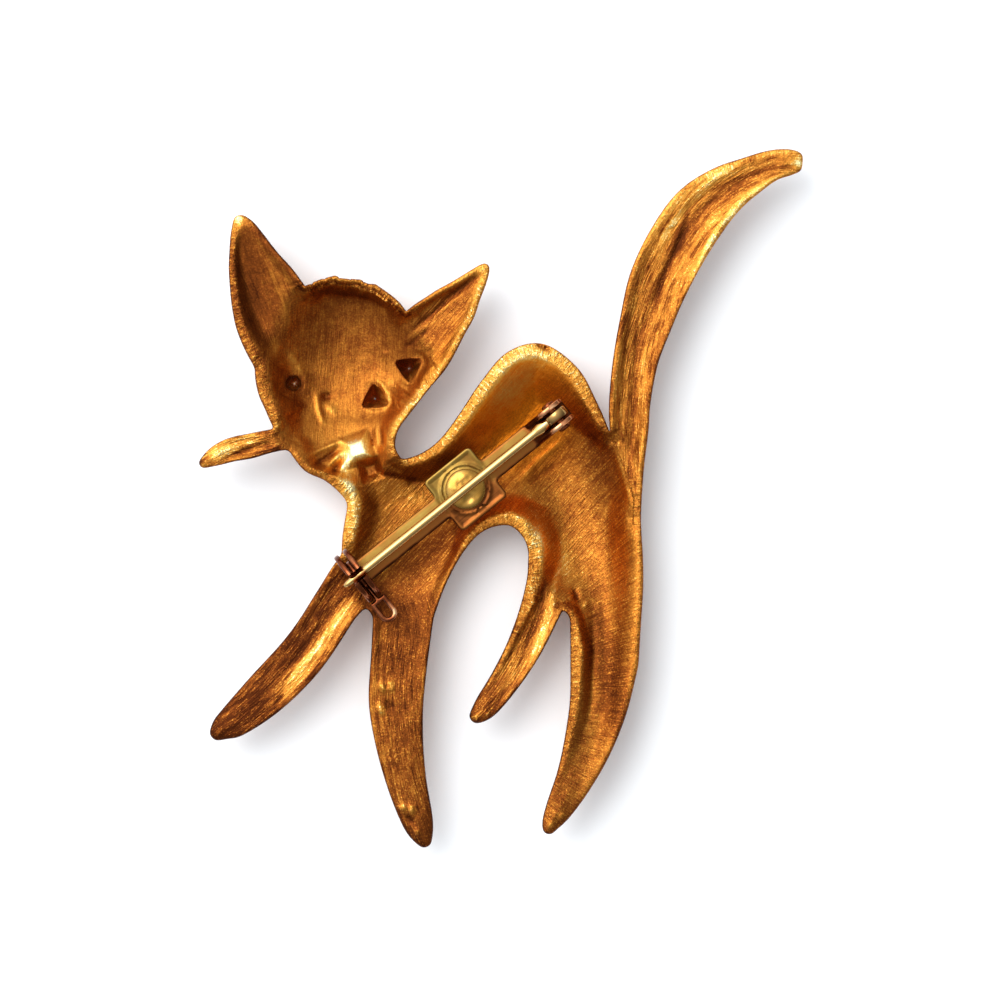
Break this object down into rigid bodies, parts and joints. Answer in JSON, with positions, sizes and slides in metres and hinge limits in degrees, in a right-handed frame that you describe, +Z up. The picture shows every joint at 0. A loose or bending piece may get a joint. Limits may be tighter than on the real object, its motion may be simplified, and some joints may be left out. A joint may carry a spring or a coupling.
{
  "type": "figural cat brooch",
  "caption": "Cast hollow-backed cat brooch with arched back, raised tail and pierced face, carried by a bar pin with a hinged stem and a turning safety catch.",
  "frame": {"origin": "bottom centre of the brooch's bounding box, on the surface that it lies on face down", "axes": "+Z up out of the hollow back, +Y from the paws to the ears, +X from the whisker to the tail"},
  "size_m": [0.0554, 0.064, 0.0108],
  "materials": {
    "cast_gold": "brushed cast metal with deep gold plate, browner in the hollows",
    "satin_brass": "satin rolled brass",
    "dark_copper": "tarnished copper-brown with bright worn edges",
    "polished_gold": "polished pale gold wire"
  },
  "bodies": {
    "brooch": {"cat_casting": "cast_gold", "pin_bar": "satin_brass", "hinge_rivet": "dark_copper"},
    "stem": {"pin_stem": "polished_gold"},
    "rotor": {"catch_rotor": "dark_copper"}
  },
  "joints": [
    {"name": "pin_hinge", "type": "hinge", "parent": "brooch", "child": "stem", "pos_m": [0.0051, 0.00767, 0.0082], "axis": [-0.6266, 0.7793, 0], "range_deg": [0, 100]},
    {"name": "catch_turn", "type": "hinge", "parent": "brooch", "child": "rotor", "pos_m": [-0.01298, -0.00687, 0.0082], "axis": [-0.7793, -0.6266, 0], "range_deg": [0, 110]}
  ]
}
